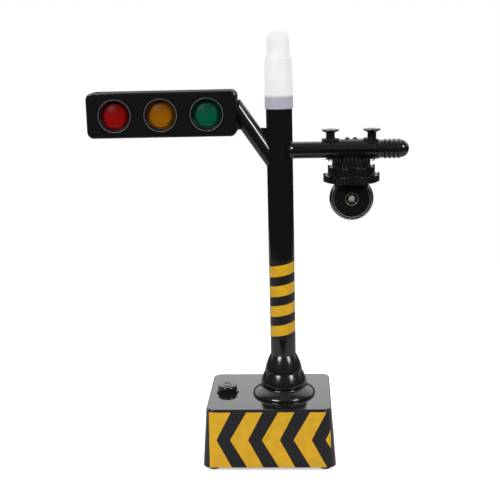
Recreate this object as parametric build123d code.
"""Toy signal mast: a hazard-striped battery base with a push button, a hollow mast
with a frosted lamp on top, a three-aspect signal head on a slanting arm, and a
swivelling ball camera under a straight arm.

Millimetres, +Z up. The origin is on the surface the feet stand on, under the
centre of the base. -Y is the front, the side that the lenses face.
"""
import os
from math import cos, radians, sin, sqrt

from build123d import *

os.makedirs("parts", exist_ok=True)

# ---------------------------------------------------------------- clearances
running_fit = 0.06        # radial play of a shaft that turns or slides in its hole
snug_fit = 0.04           # play between pieces that are fixed to each other
thread_play = 0.02        # a screw's shank is drawn at the size of its threaded hole
seat_gap = 0.2            # free gap round a cover or door
turn_gap = 0.15           # axial gap between a turning piece and a fixed one
hide_depth = 0.5          # how far a cutter runs past the face it cuts

# ---------------------------------------------------------------- base
foot_height = 1.9         # rubber foot, from the table to the housing's rim
foot_recess = 0.8         # depth of a foot's seat in the bottom plate
foot_radius = 2.8
foot_edge = 0.4
foot_inset = 5.0          # foot centre, in from the housing's rim
base_height = 27.5        # housing, rim to top face
base_width = 61.65        # housing at its rim
base_depth = 54.35
base_draft = 1.92         # inward lean of each side over the housing's height
base_corner = 4.0         # radius of the upright corners
base_edge = 0.8           # rounding of the top edge
base_wall = 1.8
base_roof = 2.0           # wall under the top face
plate_recess = 0.5        # bottom plate, above the housing's rim
plate_thickness = 2.0
base_boss_radius = 2.4
base_screw_length = 10.0
front_screw_x = 17.5      # pair of housing screws near the front
front_screw_inset = 4.8   # in from the front rim
side_screw_inset = 5.4    # pair at the sides, in from the side rims
side_screw_y = 12.5

# ---------------------------------------------------------------- screws
screw_radius = 0.9
screw_head_radius = 1.7
screw_head_height = 1.1
screw_slot_width = 0.5
screw_slot_depth = 0.5

# ---------------------------------------------------------------- batteries
cell_radius = 5.25
cell_length = 43.3
cell_button_radius = 1.9
cell_button_height = 1.0
cell_gap = 0.7            # between the two cells
cell_mid_y = -5.8         # centre line of the pair
contact_gap = 2.4         # room for the contact plate and spring at each end
contact_thickness = 0.4
contact_margin = 1.2      # contact plate, in from the cell's sides
battery_spring_radius = 3.2
battery_spring_turns = 2.5
spring_wire = 0.5
tray_wall = 1.2
tray_play = 0.4
tray_grip = 0.6           # share of a cell's radius that the tray rises above its axis
door_thickness = 1.6
door_lip = 1.2            # ledge that the door closes against
door_tab_width = 9.0
door_tab_length = 6.0
door_screw_inset = 2.6    # screw, in from the end of the tab
door_screw_sink = 0.4     # screw head, below the door's outer face
door_boss_radius = 2.6
door_boss_height = 5.0
door_rib_thickness = 1.0
door_rib_height = 1.4
grip_count = 5            # finger grooves in the door
grip_pitch = 1.4
grip_width = 0.7
grip_depth = 0.4
grip_length = 8.0

# ---------------------------------------------------------------- sound and switch
speaker_x = -14.0
speaker_gap = 0.55        # between the tray's wall and the speaker
speaker_radius = 8.0
speaker_height = 5.0
speaker_rim_height = 2.2
speaker_neck_radius = 4.6
speaker_sheet = 1.0       # sheet of the speaker's frame
speaker_ring_wall = 1.0
magnet_radius = 4.4
magnet_height = 1.8
grille_hole_radius = 0.8
grille_rings = ((0.0, 1), (2.6, 6), (5.2, 12))
board_drop = 9.8          # board's lower face, under the roof
board_thickness = 1.2
board_margin = 6.5        # board's left edge, past the button's axis
board_right = 15.0
board_front, board_back = -7.0, 19.0
board_screw_inset = 4.0
board_screw_y = 15.5
board_post_radius = 2.4
chip_radius = 3.6
chip_height = 1.3
switch_size = 7.0
switch_height = 4.5
switch_stem_radius = 1.6
switch_stem_proud = 1.5   # how far the stem stands above the switch at rest
switch_stem_rest = 1.0    # stem left inside the switch when pressed

# ---------------------------------------------------------------- push button
button_y = 0.0
button_side_gap = 0.6     # between the button's flange and the side wall
button_radius = 4.7
button_travel = 1.2
button_proud = 3.4        # cap above the base's top face
button_edge = 1.0
button_wall = 1.1
button_room = 2.6         # hollow under the cap, above the roof's lower face
button_flange_width = 1.3
button_flange_height = 1.0
button_mark_radii = (2.2, 1.5)
button_mark_height = 0.2
button_ring_width = 0.7
button_ring_height = 0.7
button_spring_radius = 2.5
button_spring_wire = 0.4
button_spring_turns = 3.5

# ---------------------------------------------------------------- mast
mast_x, mast_y = 6.8, -2.0
mast_radius = 5.95
mast_wall = 1.4
mast_height = 140.9       # spigot's top, above the base
mast_socket = 5.0         # lower end, under the roof
mast_boss_radius = 1.9
mast_screw_sink = 0.8     # screw head, below the mast's surface
first_screw_rise = 2.9    # lowest screw, above the bell foot
second_screw_share = 0.131  # upper screws, along the bare mast from the striped label
third_screw_share = 0.6885  # to the slanting arm's root
foot_flange_width = 8.95  # bell foot's skirt, out from the mast
foot_bell_height = 19.7
nut_width = 3.6
nut_height = 3.6
nut_grips = 8
nut_grip_radius = 1.2
stripe_rise = 28.2        # striped label's lower edge, above the base
stripe_length = 38.0
stripe_gap = 1.0
stripe_seam_turn = 14.0   # seam, from the mast's left side towards the front
sticker_thickness = 0.1
sticker_left_inset = 3.25
sticker_right_inset = 2.2
sticker_low_gap = 0.1     # label, above the housing's rim
sticker_top_gap = 1.2

# ---------------------------------------------------------------- slanting arm
slant_angle = 55.6        # rise of the slanting arm above the horizontal
slant_drop = 33.45        # its axis meets the mast's axis, below the spigot's top
slant_radius = 3.9
slant_bore = 2.5
slant_flange = 1.4        # length of the oval stub against the head
tongue_length = 3.4       # tongue of the arm inside the head
tongue_height = 8.0
tongue_width = 5.4
tongue_slot_width = 3.2
tongue_slot_height = 4.5
web_rise = 19.25          # top of the web, above the slanting arm's root
web_root_rise = 6.0
web_thickness = 3.0

# ---------------------------------------------------------------- straight arm
arm_drop = 24.55          # axis, below the spigot's top
arm_radius = 3.8
arm_wall = 1.4
arm_flare = 2.2           # fillet where the arm leaves the mast
flare_bend = 0.62
arm_plug_length = 3.7     # arm inside its end cap
cap_length = 14.7
cap_wall = 0.3            # end cap's body, over the arm
cap_rib_height = 0.4
cap_collar_length = 1.2
cap_rib_start = 4.0
cap_rib_pitch = 2.0
cap_rib_count = 4
cap_rib_width = 0.9
cap_rib_edge = 0.3

# ---------------------------------------------------------------- signal head
head_length = 67.9
head_right = -12.1
lens_drop = 7.0           # lens line, below the spigot's top
head_above, head_below = 10.4, 10.05
head_fore, head_aft = 7.0, 5.8
head_wall = 1.5
head_corner = 3.0
head_edge = 0.8
lens_pitch = 20.8
lens_mid_inset = 34.2     # middle lens, in from the head's right end
lens_hole_radius = 6.15
lens_rim_width = 1.35
lens_rim_land = 0.3
lens_rim_height = 0.5
lens_flange_width = 0.85
lens_flange_thickness = 0.9
lens_wall = 1.0
lens_bulge = 1.6
lens_sink = 0.3           # top of the dome, behind the head's face
head_screw_rise = 7.3     # screws above and below the lens line
head_screw_sink = 0.7
head_screw_wall = 1.0
led_radius = 1.5
led_length = 4.2
led_flange_width = 0.35
led_flange_height = 0.8
signal_board_margin = 7.2
signal_board_height = 13.0
signal_board_back = 2.0   # board's front face, behind the split
signal_board_thickness = 1.0

# ---------------------------------------------------------------- lamp
lamp_overlap = 5.5        # skirt over the mast's spigot
lamp_height = 35.2
lamp_play = 0.05          # skirt round the spigot
lamp_wall = 0.42
lamp_neck_rise = 8.7      # top of the straight skirt
lamp_shoulder_drop = 13.2 # shoulder and dome, below the lamp's top
lamp_dome_drop = 10.4
lamp_shoulder_step = 0.37
lamp_dome_step = 1.3
lamp_led_radius = 2.5
lamp_led_length = 8.0
holder_depth = 3.5
holder_lip = 1.0
holder_step = 0.6
holder_hollow = 1.1
holder_wall = 1.05

# ---------------------------------------------------------------- camera
camera_x = 39.3
ball_radius = 10.1
ball_wall = 1.4
ball_flat = 2.2           # ball's pole cut off where it meets its collar
face_depth = 4.0          # flat face, in front of the ball's centre
face_ring_radius = 8.13
face_plate = 0.45
dish_depth = 0.7
eye_radius = 2.65
eye_depth = 0.6
eye_tube_length = 2.2
eye_tube_wall = 1.2
eye_led_radius = 1.8
eye_led_inset = 0.6       # light's tip, behind the face
collar_radii = (8.64, 10.7, 12.8)
collar_heights = (3.2, 3.7, 3.8)
collar_lip = 0.7          # rise of the teeth above each tier
collar_lip_width = 1.1
collar_tooth_land = 0.3
collar_tooth_width = 3.4
collar_tooth_relief = 0.3 # teeth, proud of the tier's wall
collar_tooth_pairs = 4
stem_radius = 3.0
stem_bore = 1.6
stem_drop = 1.5           # stem's top, below the collar's top
clip_floor = 1.2          # hanger's floor under the clip
clip_radius = 4.4
clip_height = 0.8
clip_groove = 0.6
clip_mouth = 2.4
clip_room_radius = 5.6
yoke_half_width = 12.7
yoke_drop = 1.4           # wing tips, below the arm
yoke_crest_drop = 0.85    # crest of the wings, below the arm's axis
yoke_post = 6.8
collar_gap = 0.05
strap_left_reach, strap_right_reach = 13.4, 11.3
sleeve_wall = 0.8
strap_lift = 0.3          # strap's lower edges, above the arm's axis
stud_offsets = (-9.4, 9.3)
stud_radius = 2.0
stud_head_radius = 3.95
stud_head_height = 0.9
stud_rise = 5.4           # top of a stud, above the arm
stud_dish = 0.5
stud_shank_radius = 1.0
stud_shank_grip = 2.0
stud_boss_radius = 4.05
stud_boss_rise = 1.15
stud_seat_depth = 0.5
stud_seat_play = 0.9
bead_offsets = (-1.8, 1.7)
bead_radius = 1.3
bead_sink = 0.4

# ---------------------------------------------------------------- wiring
wire_radius = 0.5
wire_wall_gap = 0.75      # between the looms and the mast's bore
wire_spread = 0.9         # the two looms on one side, in front of and behind the axis
wire_start = 0.4          # looms, above the board
wire_bend = 3.0
camera_wire_bend = 1.8

# ---------------------------------------------------------------- worked out
rim_z = foot_height
top_z = rim_z + base_height
roof_z = top_z - base_roof
plate_z = rim_z + plate_recess
plate_top = plate_z + plate_thickness
front_screw_y = front_screw_inset - base_depth / 2
side_screw_x = base_width / 2 - side_screw_inset
base_screw_xy = ((-front_screw_x, front_screw_y), (front_screw_x, front_screw_y),
                 (-side_screw_x, side_screw_y), (side_screw_x, side_screw_y))

cell_pitch = 2 * cell_radius + cell_gap
cell_z = plate_z + door_thickness + tray_play + cell_radius
tray_length = cell_length + cell_button_height + 2 * contact_gap
tray_depth = cell_pitch + 2 * cell_radius + tray_play
tray_top = cell_z + tray_grip * cell_radius
tray_back_y = cell_mid_y + tray_depth / 2
door_screw_y = tray_back_y + door_tab_length - door_screw_inset
speaker_y = tray_back_y + tray_wall + speaker_gap + speaker_radius
speaker_rim_z = plate_top + speaker_rim_height
magnet_z = plate_top + speaker_height - magnet_height + 0.2

button_flange_radius = button_radius + button_flange_width
button_ring_radius = button_radius + button_ring_width
button_x = -(base_width / 2 - base_draft - base_wall - button_flange_radius
             - button_side_gap)
board_bottom = roof_z - board_drop
board_top = board_bottom + board_thickness
board_left = button_x - board_margin
board_screw_xy = ((board_right - board_screw_inset, board_screw_y),
                  (button_x + switch_size / 2, board_screw_y))
switch_top = board_top + switch_height
stem_tip_z = switch_top + switch_stem_proud
button_flange_top = roof_z - snug_fit
button_flange_bottom = button_flange_top - button_flange_height
button_top = top_z + button_proud

mast_top = top_z + mast_height
mast_bottom = roof_z - mast_socket
mast_bore = mast_radius - mast_wall
foot_flange_radius = mast_radius + foot_flange_width
nut_radius = mast_radius + nut_width
slant_root_z = mast_top - slant_drop
arm_z = mast_top - arm_drop
lens_z = mast_top - lens_drop
stripe_bottom = top_z + stripe_rise
stripe_top = stripe_bottom + stripe_length
bare_length = slant_root_z - stripe_top
mast_screw_z = (top_z + foot_bell_height + first_screw_rise,
                stripe_top + second_screw_share * bare_length,
                stripe_top + third_screw_share * bare_length)
slant_dir = Vector(-cos(radians(slant_angle)), 0, sin(radians(slant_angle)))
slant_root = Vector(mast_x, mast_y, slant_root_z)
slant_at_head = slant_root + slant_dir * (
    (mast_x - head_right - slant_flange) / cos(radians(slant_angle)))
web_top_z = slant_root_z + web_rise

head_left = head_right - head_length
head_bottom, head_top = lens_z - head_below, lens_z + head_above
head_split = mast_y
head_front, head_back = head_split - head_fore, head_split + head_aft
lens_mid_x = head_right - lens_mid_inset
lens_x = [lens_mid_x + (i - 1) * lens_pitch for i in range(3)]
lens_rim_radius = lens_hole_radius + lens_rim_width
lens_flange_radius = lens_hole_radius + lens_flange_width
head_screw_x = (lens_mid_x - lens_pitch / 2, lens_mid_x + lens_pitch / 2)
head_boss_radius = screw_head_radius + head_screw_wall
signal_board_y = head_split + signal_board_back

lamp_bottom = mast_top - lamp_overlap
lamp_top = lamp_bottom + lamp_height
lamp_skirt_radius = mast_radius + lamp_play + lamp_wall
lamp_shoulder_radius = lamp_skirt_radius - lamp_shoulder_step
lamp_dome_radius = lamp_skirt_radius - lamp_dome_step

arm_bore = arm_radius - arm_wall
strap_left = camera_x - strap_left_reach
strap_right = camera_x + strap_right_reach
cap_start_x = strap_right + snug_fit
cap_end_x = cap_start_x + cap_length
arm_end_x = cap_start_x + arm_plug_length
cap_body_radius = arm_radius + cap_wall
cap_rib_radius = cap_body_radius + cap_rib_height
stud_x = [camera_x + offset for offset in stud_offsets]
stud_top = arm_z + arm_radius + stud_rise
stud_boss_top = arm_z + arm_radius + stud_boss_rise
stud_seat_z = stud_boss_top - stud_seat_depth
yoke_tip_z = arm_z - arm_radius - yoke_drop
collar_top = arm_z - arm_radius - collar_gap
collar_z = (collar_top, collar_top - collar_heights[0],
            collar_top - sum(collar_heights[:2]), collar_top - sum(collar_heights))
middle_floor = collar_z[1] - collar_lip
lower_floor = collar_z[2] - collar_lip
stem_top = collar_top - stem_drop
clip_room_z = middle_floor + clip_floor
clip_z = clip_room_z + turn_gap
ball_top = collar_z[3]
ball_z = ball_top - (ball_radius - ball_flat)
face_y = mast_y - face_depth
dish_y = face_y + dish_depth
wire_offset = mast_bore - wire_radius - wire_wall_gap


def save(shape, name):
    """Write one node, named as the file."""
    solids = shape.solids()
    shape = solids[0] if len(solids) == 1 else Compound(children=list(solids))
    shape.label = name
    export_step(shape, f"parts/{name}.step")


def rod(start, end, radius):
    """Round bar between two points."""
    start, end = Vector(*start), Vector(*end)
    span = end - start
    plane = Plane(origin=start, z_dir=span)
    return extrude(plane * Circle(radius), amount=span.length)


def upright(x, y, z0, z1, radius):
    return rod((x, y, z0), (x, y, z1), radius)


def block(x0, x1, y0, y1, z0, z1):
    box = Box(x1 - x0, y1 - y0, z1 - z0, align=(Align.MIN, Align.MIN, Align.MIN))
    return Pos(x0, y0, z0) * box


def frustum(inset, z0, z1, corner):
    """The base's leaning sides moved in by inset, between two heights."""
    faces = []
    for z in (z0, z1):
        lean = base_draft * (z - rim_z) / base_height
        width = base_width - 2 * (lean + inset)
        depth = base_depth - 2 * (lean + inset)
        faces.append(Pos(0, 0, z) * RectangleRounded(width, depth, corner))
    return loft(faces, ruled=True)


def turned(points_rz, x, y):
    """Solid of revolution about an upright axis from a closed outline of r, z points."""
    outline = Polyline(*[(r, 0, z) for r, z in points_rz], close=True)
    return Pos(x, y, 0) * revolve(make_face(outline), Axis.Z)


def screw(head, tip, head_radius=screw_head_radius):
    """Cross-slotted screw whose head's face is at head, pointing to tip."""
    head, tip = Vector(*head), Vector(*tip)
    along = (tip - head).normalized()
    neck = head + along * screw_head_height
    body = rod(head, neck, head_radius) + rod(neck, tip, screw_radius)
    plane = Plane(origin=head, z_dir=along)
    slot_span = 1.3 * head_radius
    for turn in (0, 90):
        slot = Box(slot_span, screw_slot_width, 2 * screw_slot_depth)
        body -= plane * (Rot(0, 0, turn) * slot)
    return body


def loom(points, bend):
    """Twin wire drawn as one round cord along a path with rounded corners."""
    path = FilletPolyline(*points, radius=bend)
    start = Plane(origin=path @ 0, z_dir=path % 0)
    return sweep(start * Circle(wire_radius), path=path)


# ================================================================= base
def make_base_housing():
    shell = frustum(0, rim_z, top_z, base_corner)
    shell = fillet(shell.faces().sort_by(Axis.Z)[-1].edges(), base_edge)
    shell -= frustum(base_wall, rim_z - hide_depth, roof_z, base_corner - base_wall)
    room = frustum(base_wall / 2, plate_top, top_z - base_edge, base_corner)
    for x, y in base_screw_xy:
        boss = upright(x, y, plate_top, roof_z + hide_depth, base_boss_radius) & room
        shell += boss
        shell -= upright(x, y, plate_top, roof_z - hide_depth, screw_radius + thread_play)
    for x, y in board_screw_xy:
        shell += upright(x, y, board_top, roof_z + hide_depth, board_post_radius)
        shell -= upright(x, y, board_top, roof_z - hide_depth, screw_radius + thread_play)
    shell -= upright(mast_x, mast_y, roof_z - hide_depth, top_z + hide_depth,
                     mast_radius + snug_fit)
    shell += upright(button_x, button_y, top_z - hide_depth,
                     top_z + button_ring_height, button_ring_radius)
    shell -= upright(button_x, button_y, roof_z - hide_depth,
                     top_z + button_ring_height + hide_depth, button_radius + running_fit)
    return shell


def tray_box(grow, z0, z1):
    half_x, half_y = tray_length / 2 + grow, tray_depth / 2 + grow
    return block(-half_x, half_x, cell_mid_y - half_y, cell_mid_y + half_y, z0, z1)


def door_outline(grow, z0, z1):
    """The door's plan: the tray's mouth with its ledge, and the screw tab behind."""
    tab_half = door_tab_width / 2 + grow
    tab_end = tray_back_y + door_tab_length + grow
    return tray_box(door_lip / 2 + grow, z0, z1) + block(
        -tab_half, tab_half, tray_back_y, tab_end, z0, z1)


def foot_places():
    x = base_width / 2 - foot_inset
    y = base_depth / 2 - foot_inset
    return [(sx * x, sy * y) for sx in (-1, 1) for sy in (-1, 1)]


def make_base_plate():
    plate = frustum(base_wall + seat_gap / 2, plate_z, plate_top, base_corner - base_wall)
    plate += tray_box(tray_wall, plate_z, tray_top)
    boss_top = plate_top + door_boss_height
    plate += upright(0, door_screw_y, plate_z, boss_top, door_boss_radius)
    plate -= tray_box(0, plate_z - hide_depth, tray_top + hide_depth)
    plate -= door_outline(seat_gap, plate_z - hide_depth, plate_z + door_thickness)
    plate -= upright(0, door_screw_y, plate_z, boss_top - door_rib_thickness,
                     screw_radius + thread_play)
    seat_radius = speaker_radius + snug_fit
    ring = upright(speaker_x, speaker_y, plate_z, speaker_rim_z - seat_gap,
                   seat_radius + speaker_ring_wall)
    ring -= upright(speaker_x, speaker_y, plate_top, speaker_rim_z, seat_radius)
    plate += ring
    for radius, count in grille_rings:
        for i in range(count):
            turn = radians(360 * i / count)
            plate -= upright(speaker_x + radius * cos(turn), speaker_y + radius * sin(turn),
                             plate_z - hide_depth, plate_top + hide_depth, grille_hole_radius)
    for x, y in base_screw_xy:
        plate -= upright(x, y, plate_z - hide_depth, plate_top + hide_depth,
                         screw_radius + snug_fit)
        plate -= upright(x, y, plate_z - hide_depth, plate_z + screw_head_height,
                         screw_head_radius + seat_gap)
    for x, y in foot_places():
        plate -= upright(x, y, plate_z - hide_depth, plate_z + foot_recess,
                         foot_radius + snug_fit)
    return plate


def make_rubber_feet():
    feet = []
    for x, y in foot_places():
        foot = upright(x, y, 0, plate_z + foot_recess, foot_radius)
        feet.append(chamfer(foot.faces().sort_by(Axis.Z)[0].edges(), foot_edge))
    return Compound(children=feet)


def make_base_screws():
    return Compound(children=[
        screw((x, y, plate_z), (x, y, plate_z + base_screw_length)) for x, y in base_screw_xy])


def make_hazard_sticker():
    """Striped label on the front face, its ends lapping onto the rounded corners."""
    skin = frustum(-sticker_thickness, rim_z + sticker_low_gap, top_z - sticker_top_gap,
                   base_corner)
    skin -= frustum(0, rim_z, top_z, base_corner)
    left, right = sticker_left_inset - base_width / 2, base_width / 2 - sticker_right_inset
    return skin & block(left, right, -base_depth, base_corner - base_depth / 2, rim_z, top_z)


# ================================================================= power
def cell_lines():
    return [cell_mid_y - cell_pitch / 2, cell_mid_y + cell_pitch / 2]


def cell_start_x(side):
    """Flat end of a cell; the two lie head to tail."""
    return -side * (tray_length / 2 - contact_gap)


def make_batteries():
    cells = []
    for side, y in zip((-1, 1), cell_lines()):
        flat = cell_start_x(side)
        shoulder = flat + side * cell_length
        tip = shoulder + side * cell_button_height
        cell = rod((flat, y, cell_z), (shoulder, y, cell_z), cell_radius)
        cell += rod((shoulder, y, cell_z), (tip, y, cell_z), cell_button_radius)
        cells.append(cell)
    return Compound(children=cells)


def make_contact_plates():
    """Four pressed plates, one at each end of each cell."""
    plates = []
    half = cell_radius - contact_margin
    low = plate_z + door_thickness + tray_wall
    for y in cell_lines():
        for side in (-1, 1):
            x = side * tray_length / 2
            near, far = sorted((x, x - side * contact_thickness))
            plates.append(block(near, far, y - half, y + half, low, tray_top))
    return Compound(children=plates)


def make_battery_springs():
    """Tapered spring behind each cell's flat end."""
    springs = []
    for side, y in zip((-1, 1), cell_lines()):
        x0 = -side * (tray_length / 2 - contact_thickness)
        length = contact_gap - contact_thickness - spring_wire
        helix = Helix(pitch=length / battery_spring_turns, height=length,
                      radius=battery_spring_radius)
        start = Plane(origin=helix @ 0, z_dir=helix % 0)
        coil = sweep(start * Circle(spring_wire / 2), path=helix, is_frenet=True)
        plane = Plane(origin=(x0 + side * spring_wire / 2, y, cell_z), z_dir=(side, 0, 0))
        springs.append(plane * coil)
    return Compound(children=springs)


def make_battery_door():
    door = door_outline(0, plate_z, plate_z + door_thickness - seat_gap / 2)
    rib_reach = tray_depth / 2 - seat_gap
    rib_top = plate_z + door_thickness + door_rib_height
    for side in (-1, 1):
        y0, y1 = sorted((cell_mid_y + side * rib_reach,
                         cell_mid_y + side * (rib_reach - door_rib_thickness)))
        door += block(-tray_length / 4, tray_length / 4, y0, y1, plate_z, rib_top)
    door -= upright(0, door_screw_y, plate_z - hide_depth, plate_z + door_thickness,
                    screw_radius + snug_fit)
    door -= upright(0, door_screw_y, plate_z - hide_depth,
                    plate_z + screw_head_height - door_screw_sink, screw_head_radius + seat_gap)
    for i in range(grip_count):
        x = tray_length / 3 + grip_pitch * (i - grip_count / 2)
        door -= block(x, x + grip_width, cell_mid_y - grip_length / 2,
                      cell_mid_y + grip_length / 2, plate_z - hide_depth, plate_z + grip_depth)
    return door


def make_battery_door_screw():
    head_z = plate_z - door_screw_sink
    tail = plate_z + door_thickness + door_boss_radius
    return screw((0, door_screw_y, head_z), (0, door_screw_y, tail))


# ================================================================= sound and switch
def make_speaker_frame():
    """Pressed frame: a straight rim, and a cone that rises to the magnet."""
    rim = upright(speaker_x, speaker_y, plate_top, speaker_rim_z, speaker_radius)
    rim += turned([(0, speaker_rim_z), (speaker_radius - speaker_sheet / 2, speaker_rim_z),
                   (speaker_neck_radius, magnet_z), (0, magnet_z)], speaker_x, speaker_y)
    inner_rim = speaker_radius - speaker_sheet
    step_z = speaker_rim_z - speaker_sheet / 2
    return rim - turned([(0, plate_top - hide_depth), (inner_rim, plate_top - hide_depth),
                         (inner_rim, step_z), (speaker_neck_radius - speaker_sheet,
                                               magnet_z - speaker_sheet),
                         (0, magnet_z - speaker_sheet)], speaker_x, speaker_y)


def make_speaker_cone():
    """Paper cone with a flat surround and a dust cap."""
    edge, low, paper = speaker_radius - speaker_sheet, plate_top + speaker_sheet, 0.3
    cap, rise = speaker_neck_radius / 2, speaker_sheet / 2
    return turned([(0, low + rise), (cap, low + rise), (edge - rise, low - paper),
                   (edge, low - paper), (edge, low), (edge - rise, low),
                   (cap, low + rise + paper), (0, low + rise + paper)], speaker_x, speaker_y)


def make_speaker_magnet():
    magnet = upright(speaker_x, speaker_y, magnet_z, magnet_z + magnet_height, magnet_radius)
    return chamfer(magnet.faces().sort_by(Axis.Z)[-1].edges(), screw_slot_width / 2)


def make_circuit_board():
    low, high = board_bottom - hide_depth, board_top + hide_depth
    board = block(board_left, board_right, board_front, board_back, board_bottom, board_top)
    for x, y in board_screw_xy:
        board -= upright(x, y, low, high, screw_radius + snug_fit)
    for x, y in base_screw_xy:
        board -= upright(x, y, low, high, base_boss_radius + seat_gap)
    return board


def make_board_screws():
    head_z = board_bottom - screw_head_height
    return Compound(children=[
        screw((x, y, head_z), (x, y, board_top + button_radius)) for x, y in board_screw_xy])


def make_sound_chip():
    """Black resin blob over the sound chip, and the small parts beside it."""
    x = (board_left + board_right) / 2
    y = (board_front + board_back) / 2 + chip_radius
    blob = upright(x, y, board_top, board_top + chip_height, chip_radius)
    blob = fillet(blob.faces().sort_by(Axis.Z)[-1].edges(), 0.8 * chip_height)
    width, depth, height = 1.2, 2.0, 0.8
    small = [Pos(x + 2 * chip_radius + 2 * width * i, y - chip_radius, board_top + height / 2)
             * Box(width, depth, height) for i in range(3)]
    return Compound(children=[blob, *small])


def make_push_switch():
    body = Pos(button_x, button_y, board_top + switch_height / 2) * Box(
        switch_size, switch_size, switch_height)
    floor = switch_top - button_travel - switch_stem_rest - seat_gap - running_fit
    return body - upright(button_x, button_y, floor, switch_top + hide_depth,
                          switch_stem_radius + running_fit)


def make_switch_stem():
    low = switch_top - switch_stem_rest
    return upright(button_x, button_y, low, stem_tip_z, switch_stem_radius)


def make_push_button():
    cap = upright(button_x, button_y, button_flange_bottom, button_top, button_radius)
    cap = fillet(cap.faces().sort_by(Axis.Z)[-1].edges(), button_edge)
    cap += upright(button_x, button_y, button_flange_bottom, button_flange_top,
                   button_flange_radius)
    room_top = roof_z + button_room
    cap -= upright(button_x, button_y, button_flange_bottom - hide_depth, room_top,
                   button_radius - button_wall)
    cap += upright(button_x, button_y, stem_tip_z, room_top + hide_depth, switch_stem_radius)
    outer, inner = button_mark_radii
    mark = upright(button_x, button_y, button_top - hide_depth,
                   button_top + button_mark_height, outer)
    return cap + (mark - upright(button_x, button_y, button_top,
                                 button_top + hide_depth, inner))


def make_button_spring():
    """Spring between the switch's case and the roof of the cap's hollow."""
    low = switch_top + button_spring_wire / 2
    height = roof_z + button_room - button_spring_wire - low
    helix = Helix(pitch=height / button_spring_turns, height=height,
                  radius=button_spring_radius)
    start = Plane(origin=helix @ 0, z_dir=helix % 0)
    coil = sweep(start * Circle(button_spring_wire / 2), path=helix, is_frenet=True)
    return Pos(button_x, button_y, low) * coil


# ================================================================= mast
def make_mast_foot():
    """Bell-shaped foot: a rounded skirt, a lipped lower bell and an upper bell."""
    base, top = top_z, top_z + foot_bell_height
    bore = mast_radius + snug_fit
    rim, lip, waist, shoulder, crown = (mast_radius + width for width in (
        foot_flange_width, 4.97, 4.5, 3.2, 2.6))
    with BuildPart() as bell:
        with BuildSketch(Plane.XZ):
            with BuildLine():
                Polyline((bore, base), (rim, base), (rim, base + 0.2))
                ThreePointArc((rim, base + 0.2), (rim - 1.9, base + 1.95),
                              (waist + 0.45, base + 2.85))
                ThreePointArc((waist + 0.45, base + 2.85), (waist, base + 3.5),
                              (lip - 0.2, base + 4.55))
                ThreePointArc((lip - 0.2, base + 4.55), (lip, base + 5.3),
                              (lip - 0.25, base + 6.05))
                Polyline((lip - 0.25, base + 6.05), (waist - 0.25, base + 6.3))
                ThreePointArc((waist - 0.25, base + 6.3), (waist - 0.75, base + 8.9),
                              (shoulder, base + 11.3))
                Polyline((shoulder, base + 11.3), (crown, base + 12.1))
                ThreePointArc((crown, base + 12.1), (crown - 0.9, base + 16.1),
                              (bore + 0.1, top))
                Polyline((bore + 0.1, top), (bore, top), (bore, base))
            make_face()
        revolve(axis=Axis.Z)
    return Pos(mast_x, mast_y, 0) * bell.part


def make_mast_nut():
    low, high = roof_z - nut_height - hide_depth, roof_z + hide_depth
    nut = upright(mast_x, mast_y, roof_z - nut_height, roof_z, nut_radius)
    for i in range(nut_grips):
        turn = radians(360 * (i + 0.5) / nut_grips)
        nut -= upright(mast_x + nut_radius * cos(turn), mast_y + nut_radius * sin(turn),
                       low, high, nut_grip_radius)
    return nut - upright(mast_x, mast_y, low, high, mast_radius + snug_fit)


def slant_x_at(z):
    """Where the slanting arm's axis is at a height."""
    return mast_x - (z - slant_root_z) / slant_dir.Z * abs(slant_dir.X)


def arm_rod(x0, x1, radius):
    """Round bar along the straight arm's axis."""
    return rod((x0, mast_y, arm_z), (x1, mast_y, arm_z), radius)


def make_arm_flare():
    """Hollow-curved fillet round the straight arm where it leaves the mast."""
    root_x = mast_x + sqrt(mast_radius ** 2 - arm_radius ** 2)
    start = (root_x - arm_wall, arm_radius + arm_flare)
    end = (root_x + arm_flare, arm_radius - 0.01)
    bend = (root_x + flare_bend / 2, arm_radius + flare_bend)
    with BuildPart() as flare:
        with BuildSketch(Plane.XZ):
            with BuildLine():
                ThreePointArc(start, bend, end)
                Polyline(end, (end[0], 0), (start[0], 0), start)
            make_face()
        revolve(axis=Axis.X)
    return Pos(0, mast_y, arm_z) * flare.part


def mast_outer():
    reach = head_length
    body = upright(mast_x, mast_y, mast_bottom, mast_top, mast_radius)
    slant = rod(slant_root, slant_at_head + slant_dir * reach, slant_radius)
    body += slant & block(head_right + slant_flange, mast_x, mast_y - reach, mast_y + reach,
                          slant_root_z - reach, mast_top)
    half_rise = slant_radius / cos(radians(slant_angle))
    side = Plane(origin=(head_right, mast_y, slant_at_head.Z), x_dir=(0, 1, 0), z_dir=(1, 0, 0))
    body += extrude(side * Ellipse(slant_radius, half_rise), amount=slant_flange + 0.01)
    body += arm_rod(mast_x, arm_end_x, arm_radius)
    body += make_arm_flare()
    web_z = slant_root_z + web_root_rise
    web = Polyline((mast_x, 0, web_top_z), (slant_x_at(web_top_z), 0, web_top_z),
                   (slant_x_at(web_z), 0, web_z), (mast_x, 0, web_z), close=True)
    web = extrude(make_face(web), amount=web_thickness / 2, both=True)
    return body + Pos(0, mast_y, 0) * web


def tongue(grow):
    half_h, half_w = tongue_height / 2 + grow, tongue_width / 2 + grow
    z = slant_at_head.Z
    return block(head_right - tongue_length, head_right + 0.01, mast_y - half_w,
                 mast_y + half_w, z - half_h, z + half_h)


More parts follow.
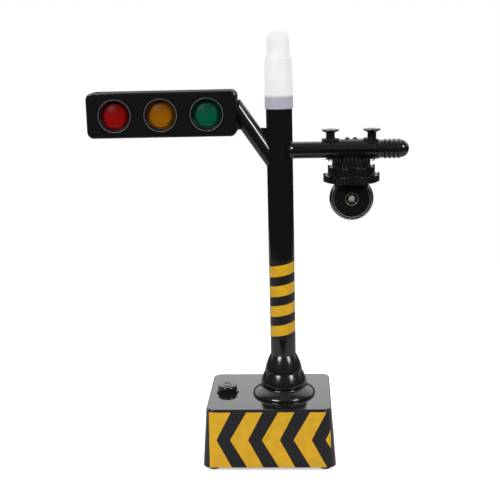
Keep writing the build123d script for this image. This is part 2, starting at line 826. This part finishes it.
def make_mast_whole():
    body = mast_outer() + tongue(0)
    body -= upright(mast_x, mast_y, mast_bottom - hide_depth, mast_top + hide_depth, mast_bore)
    body -= rod(slant_root, slant_at_head - slant_dir * slant_bore, slant_bore)
    slot_top = slant_at_head.Z + tongue_slot_height / 3
    body -= block(head_right - tongue_length - hide_depth,
                  head_right + slant_flange + wire_bend,
                  mast_y - tongue_slot_width / 2, mast_y + tongue_slot_width / 2,
                  slot_top - tongue_slot_height, slot_top)
    body -= arm_rod(mast_x, arm_end_x + hide_depth, arm_bore)
    for x in stud_x:
        body -= upright(x, mast_y, arm_z, arm_z + arm_radius + hide_depth,
                        stud_shank_radius + snug_fit)
    return body - upright(camera_x, mast_y, arm_z - arm_radius - hide_depth, arm_z, stem_bore)


def half_of(body, side):
    """The front (-1) or rear (+1) half of a body split on the mast's centre plane."""
    reach = 2 * mast_height
    y0, y1 = sorted((mast_y, mast_y + side * reach))
    return body & block(-reach, reach, y0, y1, -reach, reach)


def mast_rod(y0, y1, z, radius):
    """Round bar across the mast's axis, from front to back."""
    return rod((mast_x, y0, z), (mast_x, y1, z), radius)


def make_mast_front_shell(whole):
    shell = half_of(whole, -1)
    front = mast_y - mast_radius
    for z in mast_screw_z:
        shell += mast_rod(mast_y, front + mast_wall / 2, z, mast_boss_radius)
        shell -= mast_rod(mast_y + hide_depth, mast_y - mast_bore, z, screw_radius + thread_play)
    return shell


def make_mast_rear_shell(whole):
    shell = half_of(whole, 1)
    back = mast_y + mast_radius
    seat = back - mast_screw_sink - screw_head_height
    for z in mast_screw_z:
        shell += mast_rod(mast_y, back - mast_wall / 2, z, mast_boss_radius + hide_depth)
        shell -= mast_rod(mast_y - hide_depth, back + hide_depth, z, screw_radius + snug_fit)
        shell -= mast_rod(seat, back + hide_depth, z, screw_head_radius + snug_fit)
    return shell


def make_mast_screws():
    back, tip = mast_y + mast_radius - mast_screw_sink, mast_y - mast_bore + mast_wall / 4
    return Compound(children=[
        screw((mast_x, back, z), (mast_x, tip, z)) for z in mast_screw_z])


def make_mast_stripes():
    """Label wrapped round the mast, with a narrow gap at its seam."""
    low, high = stripe_bottom - hide_depth, stripe_top + hide_depth
    sleeve = upright(mast_x, mast_y, stripe_bottom, stripe_top, mast_radius + sticker_thickness)
    sleeve -= upright(mast_x, mast_y, low, high, mast_radius)
    gap = block(-2 * mast_radius, 0, -stripe_gap / 2, stripe_gap / 2, low, high)
    return sleeve - Pos(mast_x, mast_y, 0) * (Rot(0, 0, stripe_seam_turn) * gap)


# ================================================================= lamp
def lamp_profile(inset):
    """Outline of the lamp's outer face moved in by inset."""
    dome = lamp_dome_radius - inset
    centre_z = lamp_top - lamp_dome_radius
    skirt, shoulder = lamp_skirt_radius - inset, lamp_shoulder_radius - inset
    foot_z = lamp_bottom if inset == 0 else lamp_bottom - hide_depth
    diagonal = dome * sin(radians(45))
    with BuildPart() as lamp:
        with BuildSketch(Plane.XZ):
            with BuildLine():
                Polyline((0, foot_z), (skirt, foot_z), (skirt, lamp_bottom + lamp_neck_rise),
                         (shoulder, lamp_top - lamp_shoulder_drop),
                         (dome, lamp_top - lamp_dome_drop), (dome, centre_z))
                ThreePointArc((dome, centre_z), (diagonal, centre_z + diagonal),
                              (0, centre_z + dome))
                Polyline((0, centre_z + dome), (0, foot_z))
            make_face()
        revolve(axis=Axis.Z)
    return Pos(mast_x, mast_y, 0) * lamp.part


def make_lamp_diffuser():
    return lamp_profile(0) - lamp_profile(lamp_wall)


def make_lamp_holder():
    low = mast_top - holder_depth
    holder = upright(mast_x, mast_y, low, mast_top, mast_bore - snug_fit)
    holder += upright(mast_x, mast_y, mast_top, mast_top + holder_lip, mast_radius - holder_step)
    return holder - upright(mast_x, mast_y, low - hide_depth, low + holder_hollow,
                            mast_bore - holder_wall)


def led(base, tip, radius):
    """Round-nosed lamp: a flange, a barrel and a dome."""
    base, tip = Vector(*base), Vector(*tip)
    along = (tip - base).normalized()
    nose, flange_radius = tip - along * radius, radius + led_flange_width
    body = rod(base, base + along * led_flange_height, flange_radius)
    body += rod(base, nose, radius)
    dome = Pos(nose) * Sphere(radius)
    return body + (dome & rod(base, tip + along * radius, flange_radius))


def make_lamp_led():
    z = mast_top + holder_lip
    return led((mast_x, mast_y, z), (mast_x, mast_y, z + lamp_led_length), lamp_led_radius)


# ================================================================= signal head
def head_block(grow, y0, y1):
    width = head_right - head_left + 2 * grow
    height = head_top - head_bottom + 2 * grow
    centre = ((head_left + head_right) / 2, y0, (head_bottom + head_top) / 2)
    plane = Plane(origin=centre, x_dir=(1, 0, 0), z_dir=(0, 1, 0))
    return extrude(plane * RectangleRounded(width, height, head_corner + grow), amount=y1 - y0)


def head_screw_places():
    return [(x, lens_z + side * head_screw_rise) for x in head_screw_x for side in (-1, 1)]


def head_rod(x, z, y0, y1, radius):
    """Round bar from front to back through the signal head."""
    return rod((x, y0, z), (x, y1, z), radius)


def tongue_way():
    """Opening in the head's end for the arm's tongue."""
    grown = tongue(snug_fit)
    return grown + Pos(hide_depth, 0, 0) * grown


def make_signal_front_shell():
    """Front half of the head, with a raised rim and a tapered mouth round each lens."""
    seat, rim_y = head_front + head_wall, head_front - lens_rim_height
    shell = head_block(0, head_front, head_split)
    shell = fillet(shell.faces().sort_by(Axis.Y)[0].edges(), head_edge)
    shell -= head_block(-head_wall, seat, head_split + hide_depth)
    for x in lens_x:
        shell += head_rod(x, lens_z, rim_y, head_front + hide_depth, lens_rim_radius)
        mouth = Plane(origin=(x, rim_y, lens_z), z_dir=(0, 1, 0))
        shell -= loft([mouth * Circle(lens_rim_radius - lens_rim_land),
                       mouth.offset(lens_rim_height + head_wall / 2) * Circle(lens_hole_radius)])
        shell -= head_rod(x, lens_z, head_front - hide_depth, seat + hide_depth,
                          lens_hole_radius)
    room = head_block(-head_wall / 2, head_front + head_wall / 2, head_split)
    for x, z in head_screw_places():
        shell += head_rod(x, z, seat - seat_gap, head_split, mast_boss_radius) & room
        shell -= head_rod(x, z, seat, head_split + hide_depth, screw_radius + thread_play)
    return shell - tongue_way()


def make_signal_rear_shell():
    shell = head_block(0, head_split, head_back)
    shell = fillet(shell.faces().sort_by(Axis.Y)[-1].edges(), head_edge)
    shell -= head_block(-head_wall, head_split - hide_depth, head_back - head_wall)
    room = head_block(-head_wall / 2, head_split, head_back)
    seat = head_back - head_screw_sink - screw_head_height
    for x, z in head_screw_places():
        shell += head_rod(x, z, head_split, head_back - seat_gap, head_boss_radius) & room
        shell -= head_rod(x, z, head_split - hide_depth, head_back + hide_depth,
                          screw_radius + snug_fit)
        shell -= head_rod(x, z, seat, head_back + hide_depth, screw_head_radius + snug_fit)
    return shell - tongue_way()


def make_signal_screws():
    head_y, tip_y = head_back - head_screw_sink, head_front + head_wall + screw_head_height
    return Compound(children=[
        screw((x, head_y, z), (x, tip_y, z)) for x, z in head_screw_places()])


def make_lens(x):
    """Bulging lens with a flange behind the head's front wall."""
    seat = head_front + head_wall
    back = seat + lens_flange_thickness
    front = head_front + lens_sink
    barrel = lens_hole_radius - snug_fit
    hollow = barrel - lens_wall

    def dome(radius, tip):
        ball = (radius ** 2 + lens_bulge ** 2) / (2 * lens_bulge)
        body = Pos(x, tip + ball, lens_z) * Sphere(ball)
        return body & head_rod(x, lens_z, tip - hide_depth, back, radius)

    lens = head_rod(x, lens_z, seat, back, lens_flange_radius) + dome(barrel, front)
    return lens - (dome(hollow, front + lens_wall)
                   + head_rod(x, lens_z, seat, back + hide_depth, hollow))


def make_signal_board():
    half = lens_pitch + signal_board_margin
    low, high = lens_z - signal_board_height / 2, lens_z + signal_board_height / 2
    back = signal_board_y + signal_board_thickness
    board = block(lens_mid_x - half, lens_mid_x + half, signal_board_y, back, low, high)
    for x, z in head_screw_places():
        board -= head_rod(x, z, signal_board_y - hide_depth, back + hide_depth,
                          head_boss_radius + seat_gap)
    return board


def make_signal_leds():
    return Compound(children=[
        led((x, signal_board_y, lens_z), (x, signal_board_y - led_length, lens_z), led_radius)
        for x in lens_x])


# ================================================================= camera arm
def make_arm_end_cap():
    """Ribbed cap on the arm's end, with a round nose."""
    nose_x = cap_end_x - cap_body_radius
    cap = arm_rod(cap_start_x, nose_x, cap_body_radius)
    cap += Pos(nose_x, mast_y, arm_z) * Sphere(cap_body_radius)
    cap += arm_rod(cap_start_x, cap_start_x + cap_collar_length, cap_rib_radius)
    for i in range(cap_rib_count):
        x = cap_start_x + cap_rib_start + i * cap_rib_pitch
        rib = arm_rod(x - cap_rib_width / 2, x + cap_rib_width / 2, cap_rib_radius)
        cap += chamfer(rib.edges().filter_by(GeomType.CIRCLE), cap_rib_edge)
    return cap - arm_rod(cap_start_x - hide_depth, arm_end_x + snug_fit, arm_radius + snug_fit)


def arm_sleeve(x0, x1):
    return (arm_rod(x0, x1, arm_radius + snug_fit + sleeve_wall)
            - arm_rod(x0 - hide_depth, x1 + hide_depth, arm_radius + snug_fit))


def make_saddle_strap():
    """Half sleeve over the arm with a boss at each stud and two beads between them."""
    top, low = arm_z + arm_radius + sleeve_wall, arm_z + strap_lift
    reach = stud_boss_radius + snug_fit
    strap = arm_sleeve(strap_left, strap_right)
    for x in stud_x:
        boss = upright(x, mast_y, low + stud_radius, stud_boss_top, stud_boss_radius)
        strap += boss & block(strap_left, strap_right + reach, mast_y - reach, mast_y + reach,
                              low, stud_boss_top)
    for offset in bead_offsets:
        strap += Pos(camera_x + offset, mast_y, top - bead_sink) * Sphere(bead_radius)
    strap -= arm_rod(strap_left - reach, strap_right + reach, arm_radius + snug_fit)
    strap &= block(strap_left - reach, strap_right, mast_y - 2 * reach, mast_y + 2 * reach,
                   low, top + 2 * reach)
    for x in stud_x:
        strap -= upright(x, mast_y, arm_z, stud_boss_top + hide_depth,
                         stud_shank_radius + snug_fit)
        strap -= upright(x, mast_y, stud_seat_z, stud_boss_top + hide_depth,
                         stud_radius + stud_seat_play)
    return strap


def make_clamp_studs():
    """Two T-headed studs through the strap into the arm."""
    studs = []
    head_z = stud_top - stud_head_height
    dish_z = stud_top - stud_dish
    for x in stud_x:
        stud = upright(x, mast_y, stud_seat_z, head_z + stud_dish / 2, stud_radius)
        stud += turned([(0, head_z - stud_dish), (stud_radius - 0.1, head_z - stud_dish),
                        (stud_head_radius, head_z + 0.3), (stud_head_radius, stud_top),
                        (stud_head_radius - 0.6, stud_top), (stud_radius - 0.4, dish_z),
                        (0, dish_z)], x, mast_y)
        stud += upright(x, mast_y, arm_z + arm_radius - stud_shank_grip,
                        stud_seat_z + hide_depth, stud_shank_radius)
        studs.append(stud)
    return Compound(children=studs)


def tooth_bars(radius, z0, z1):
    """Flat bars through the collar's axis, one for each pair of teeth."""
    bar = Box(2 * (radius + hide_depth), collar_tooth_width, z1 - z0)
    at = Pos(camera_x, mast_y, (z0 + z1) / 2)
    bars = [at * (Rot(0, 0, 180 * i / collar_tooth_pairs) * bar)
            for i in range(collar_tooth_pairs)]
    return bars[0] + bars[1:]


def collar_tier(radius, z_top, z_floor, z_bottom):
    """Flat round tier with upright teeth round its wall, their tips sloping inwards."""
    wall = radius - collar_tooth_relief
    inner = radius - collar_lip_width
    tier = upright(camera_x, mast_y, z_bottom, z_floor, wall)
    crown = turned([(inner, z_bottom), (radius, z_bottom), (radius, z_top),
                    (radius - collar_tooth_land, z_top), (inner, z_floor)], camera_x, mast_y)
    return tier + (crown & tooth_bars(radius, z_bottom, z_top))


def make_camera_yoke():
    """Fixed hanger: cradle wings under the arm and the top tier of the collar."""
    left, right = camera_x - yoke_half_width, camera_x + yoke_half_width
    crest = ThreePointArc((left, 0, yoke_tip_z), (camera_x, 0, arm_z - yoke_crest_drop),
                          (right, 0, yoke_tip_z))
    cut = make_face(crest + Line(crest @ 1, crest @ 0))
    cut = Pos(0, mast_y, 0) * extrude(cut, amount=2 * arm_radius, both=True)
    yoke = arm_sleeve(left, strap_right) & cut
    yoke += collar_tier(collar_radii[0], collar_top, collar_top, middle_floor)
    half = yoke_post / 2
    yoke += block(camera_x - half, camera_x + half, mast_y - half, mast_y + half,
                  collar_top - hide_depth, arm_z - yoke_drop)
    yoke -= arm_rod(mast_x, cap_end_x, arm_radius + snug_fit)
    yoke -= upright(camera_x, mast_y, middle_floor - hide_depth, stem_top + seat_gap,
                    stem_radius + running_fit)
    yoke -= upright(camera_x, mast_y, stem_top, arm_z, stem_bore)
    room_top = clip_z + clip_height + turn_gap
    room = upright(camera_x, mast_y, clip_room_z, room_top, clip_room_radius)
    room += block(camera_x - clip_room_radius, camera_x + clip_room_radius, mast_y,
                  mast_y + 2 * collar_radii[0], clip_room_z, room_top)
    return yoke - room


def make_collar_middle():
    low = lower_floor + turn_gap
    tier = collar_tier(collar_radii[1], collar_z[1], middle_floor, low)
    return tier - upright(camera_x, mast_y, low - hide_depth, collar_z[1],
                          stem_radius + running_fit)


def make_collar_lower():
    """Turning tier with the hollow stem that carries the ball."""
    tier = collar_tier(collar_radii[2], collar_z[2], lower_floor, collar_z[3])
    tier += upright(camera_x, mast_y, collar_z[3], stem_top, stem_radius)
    groove = upright(camera_x, mast_y, clip_z, clip_z + clip_height, 2 * stem_radius)
    groove -= upright(camera_x, mast_y, clip_room_z, collar_top, stem_radius - clip_groove)
    return tier - groove - upright(camera_x, mast_y, ball_z, collar_top, stem_bore)


def make_pivot_clip():
    """Open ring that holds the stem up in the hanger, pushed in from behind."""
    clip = upright(camera_x, mast_y, clip_z, clip_z + clip_height, clip_radius)
    clip -= upright(camera_x, mast_y, clip_room_z, collar_top, stem_radius - clip_groove)
    return clip - block(camera_x - clip_mouth / 2, camera_x + clip_mouth / 2,
                        mast_y - 2 * clip_radius, mast_y, clip_room_z, collar_top)


def face_rod(y0, y1, radius):
    """Round bar from front to back through the ball's centre."""
    return rod((camera_x, y0, ball_z), (camera_x, y1, ball_z), radius)


def ball(inset):
    """Ball with its flat top and flat face, all moved in by inset."""
    reach = 2 * ball_radius
    return (Pos(camera_x, mast_y, ball_z) * Sphere(ball_radius - inset)) & block(
        camera_x - reach, camera_x + reach, face_y + inset, mast_y + reach,
        ball_z - reach, ball_top - inset)


def make_camera_body():
    return ball(0) - ball(ball_wall) - upright(
        camera_x, mast_y, ball_z, ball_top + hide_depth, stem_bore)


def make_camera_front_shell():
    shell = half_of(make_camera_body(), -1)
    shell -= face_rod(face_y - hide_depth, dish_y, face_ring_radius)
    return shell - face_rod(face_y - hide_depth, dish_y + eye_tube_length,
                            eye_radius + eye_tube_wall)


def make_camera_rear_shell():
    return half_of(make_camera_body(), 1)


def make_camera_face():
    """Dished plate in the ball's face with a stepped eye."""
    plate = face_rod(dish_y - face_plate, dish_y, face_ring_radius - snug_fit)
    plate += face_rod(dish_y, dish_y + eye_tube_length, eye_radius + eye_tube_wall - snug_fit)
    plate -= face_rod(face_y, dish_y + eye_depth, eye_radius)
    plate -= face_rod(face_y, dish_y + 2 * eye_tube_length, eye_led_radius + snug_fit)
    return plate - block(camera_x - ball_radius, camera_x + ball_radius, face_y, mast_y,
                         ball_top - snug_fit, collar_top)


def make_camera_led():
    back = dish_y + eye_tube_length + led_flange_height
    return led((camera_x, back, ball_z), (camera_x, face_y + eye_led_inset, ball_z),
               eye_led_radius)


# ================================================================= wiring
def make_lamp_wires():
    x, y = mast_x + wire_offset, mast_y - wire_spread
    return rod((x, y, board_top + wire_start),
               (x, y, mast_top - holder_depth - seat_gap), wire_radius)


def make_signal_wires():
    """Loom up the mast, through the slanting arm and into the head."""
    x = mast_x - wire_offset
    turn_z = slant_root_z + wire_offset * abs(slant_dir.Z / slant_dir.X)
    end = slant_at_head - slant_dir * wire_radius
    points = [(x, mast_y, board_top + wire_start), (x, mast_y, turn_z), (end.X, mast_y, end.Z),
              (head_right - 2 * tongue_length, mast_y, end.Z)]
    return loom(points, wire_bend)


def make_camera_wires():
    """Lead from the stem's mouth through the straight arm and down the mast."""
    x, y = mast_x + wire_offset, mast_y + wire_spread
    points = [(x, y, board_top + wire_start), (x, y, arm_z), (camera_x, y, arm_z),
              (camera_x, y, stem_top + 2 * seat_gap)]
    return loom(points, camera_wire_bend)


def make_camera_lead():
    """The ball's own lead, from behind its light up through the hollow stem."""
    light_back = dish_y + eye_tube_length + led_flange_height
    y = max(mast_y, light_back + wire_radius + snug_fit)
    return upright(camera_x, y, ball_z, stem_top - seat_gap, wire_radius)


# ================================================================= build
if __name__ == "__main__":
    mast_whole = make_mast_whole()
    nodes = {
        "base_housing": make_base_housing(),
        "base_plate": make_base_plate(),
        "rubber_feet": make_rubber_feet(),
        "base_screws": make_base_screws(),
        "hazard_sticker": make_hazard_sticker(),
        "batteries": make_batteries(),
        "battery_contacts": make_contact_plates(),
        "battery_springs": make_battery_springs(),
        "battery_door": make_battery_door(),
        "battery_door_screw": make_battery_door_screw(),
        "speaker_frame": make_speaker_frame(),
        "speaker_cone": make_speaker_cone(),
        "speaker_magnet": make_speaker_magnet(),
        "circuit_board": make_circuit_board(),
        "board_screws": make_board_screws(),
        "sound_chip": make_sound_chip(),
        "push_switch": make_push_switch(),
        "switch_stem": make_switch_stem(),
        "push_button": make_push_button(),
        "button_spring": make_button_spring(),
        "mast_foot": make_mast_foot(),
        "mast_nut": make_mast_nut(),
        "mast_front_shell": make_mast_front_shell(mast_whole),
        "mast_rear_shell": make_mast_rear_shell(mast_whole),
        "mast_screws": make_mast_screws(),
        "mast_stripes": make_mast_stripes(),
        "lamp_diffuser": make_lamp_diffuser(),
        "lamp_holder": make_lamp_holder(),
        "lamp_led": make_lamp_led(),
        "signal_front_shell": make_signal_front_shell(),
        "signal_rear_shell": make_signal_rear_shell(),
        "signal_screws": make_signal_screws(),
        "red_lens": make_lens(lens_x[0]),
        "amber_lens": make_lens(lens_x[1]),
        "green_lens": make_lens(lens_x[2]),
        "signal_board": make_signal_board(),
        "signal_leds": make_signal_leds(),
        "arm_end_cap": make_arm_end_cap(),
        "saddle_strap": make_saddle_strap(),
        "clamp_studs": make_clamp_studs(),
        "camera_yoke": make_camera_yoke(),
        "collar_middle": make_collar_middle(),
        "collar_lower": make_collar_lower(),
        "pivot_clip": make_pivot_clip(),
        "camera_front_shell": make_camera_front_shell(),
        "camera_rear_shell": make_camera_rear_shell(),
        "camera_face": make_camera_face(),
        "camera_led": make_camera_led(),
        "lamp_wires": make_lamp_wires(),
        "signal_wires": make_signal_wires(),
        "camera_wires": make_camera_wires(),
        "camera_lead": make_camera_lead(),
    }
    for name, shape in nodes.items():
        save(shape, name)
